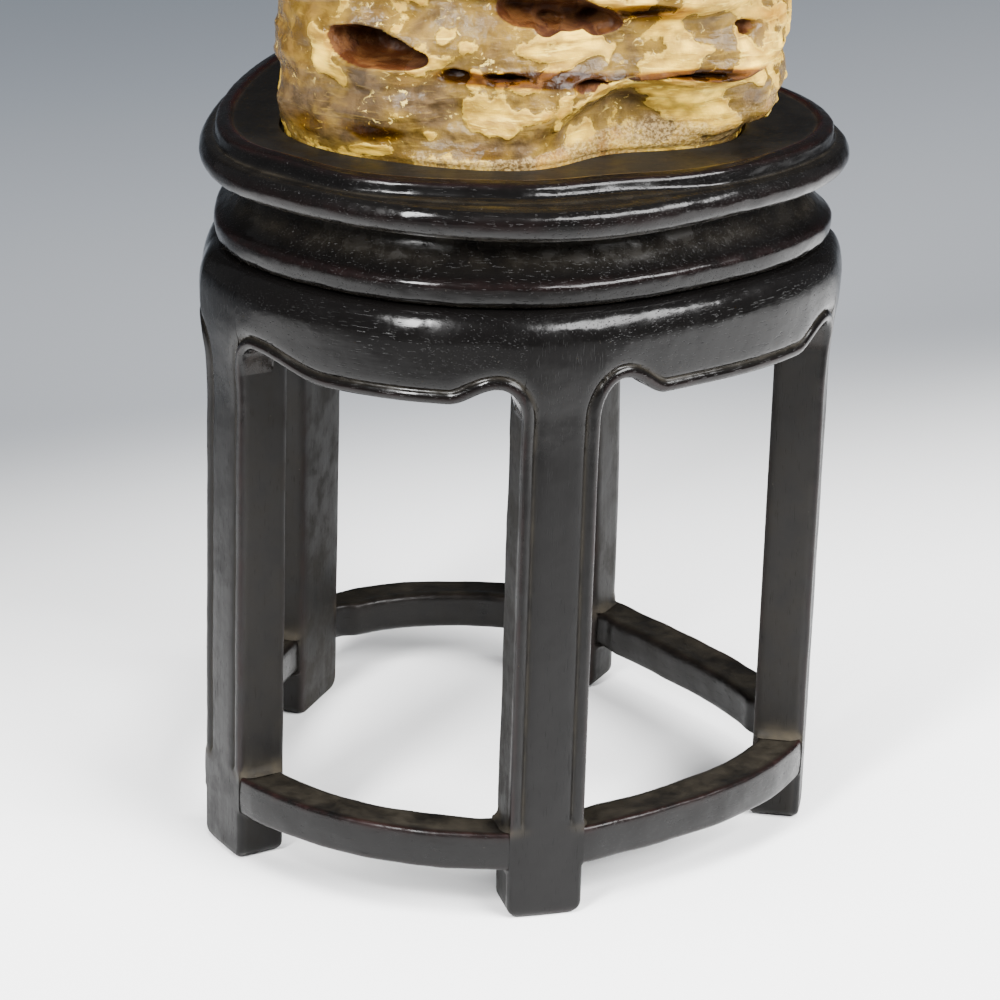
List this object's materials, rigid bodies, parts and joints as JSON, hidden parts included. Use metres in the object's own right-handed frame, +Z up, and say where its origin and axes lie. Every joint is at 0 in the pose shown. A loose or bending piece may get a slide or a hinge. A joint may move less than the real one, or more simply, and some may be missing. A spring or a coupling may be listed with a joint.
{
  "type": "scholars rock on stand",
  "caption": "Weathered honey-coloured stone with ledges and hollows, resting on a dark hardwood stand with upright legs, cusped aprons and bowed foot stretchers.",
  "frame": {"origin": "on the ground, under the middle of the bounding box", "axes": "+Z up, front leg towards -Y, +X to the right seen from the front"},
  "size_m": [0.1365, 0.1471, 0.2933],
  "materials": {
    "stone": "satin",
    "hardwood": "gloss"
  },
  "bodies": {
    "root": {"rock": "stone", "top_board": "hardwood", "waist": "hardwood", "leg_front_left": "hardwood", "leg_front": "hardwood", "leg_right": "hardwood", "leg_back": "hardwood", "leg_back_left": "hardwood", "apron_front_left": "hardwood", "apron_front_right": "hardwood", "apron_back_right": "hardwood", "apron_back": "hardwood", "apron_left": "hardwood", "stretcher_front_left": "hardwood", "stretcher_front_right": "hardwood", "stretcher_back_right": "hardwood", "stretcher_back": "hardwood", "stretcher_left": "hardwood"}
  },
  "joints": []
}
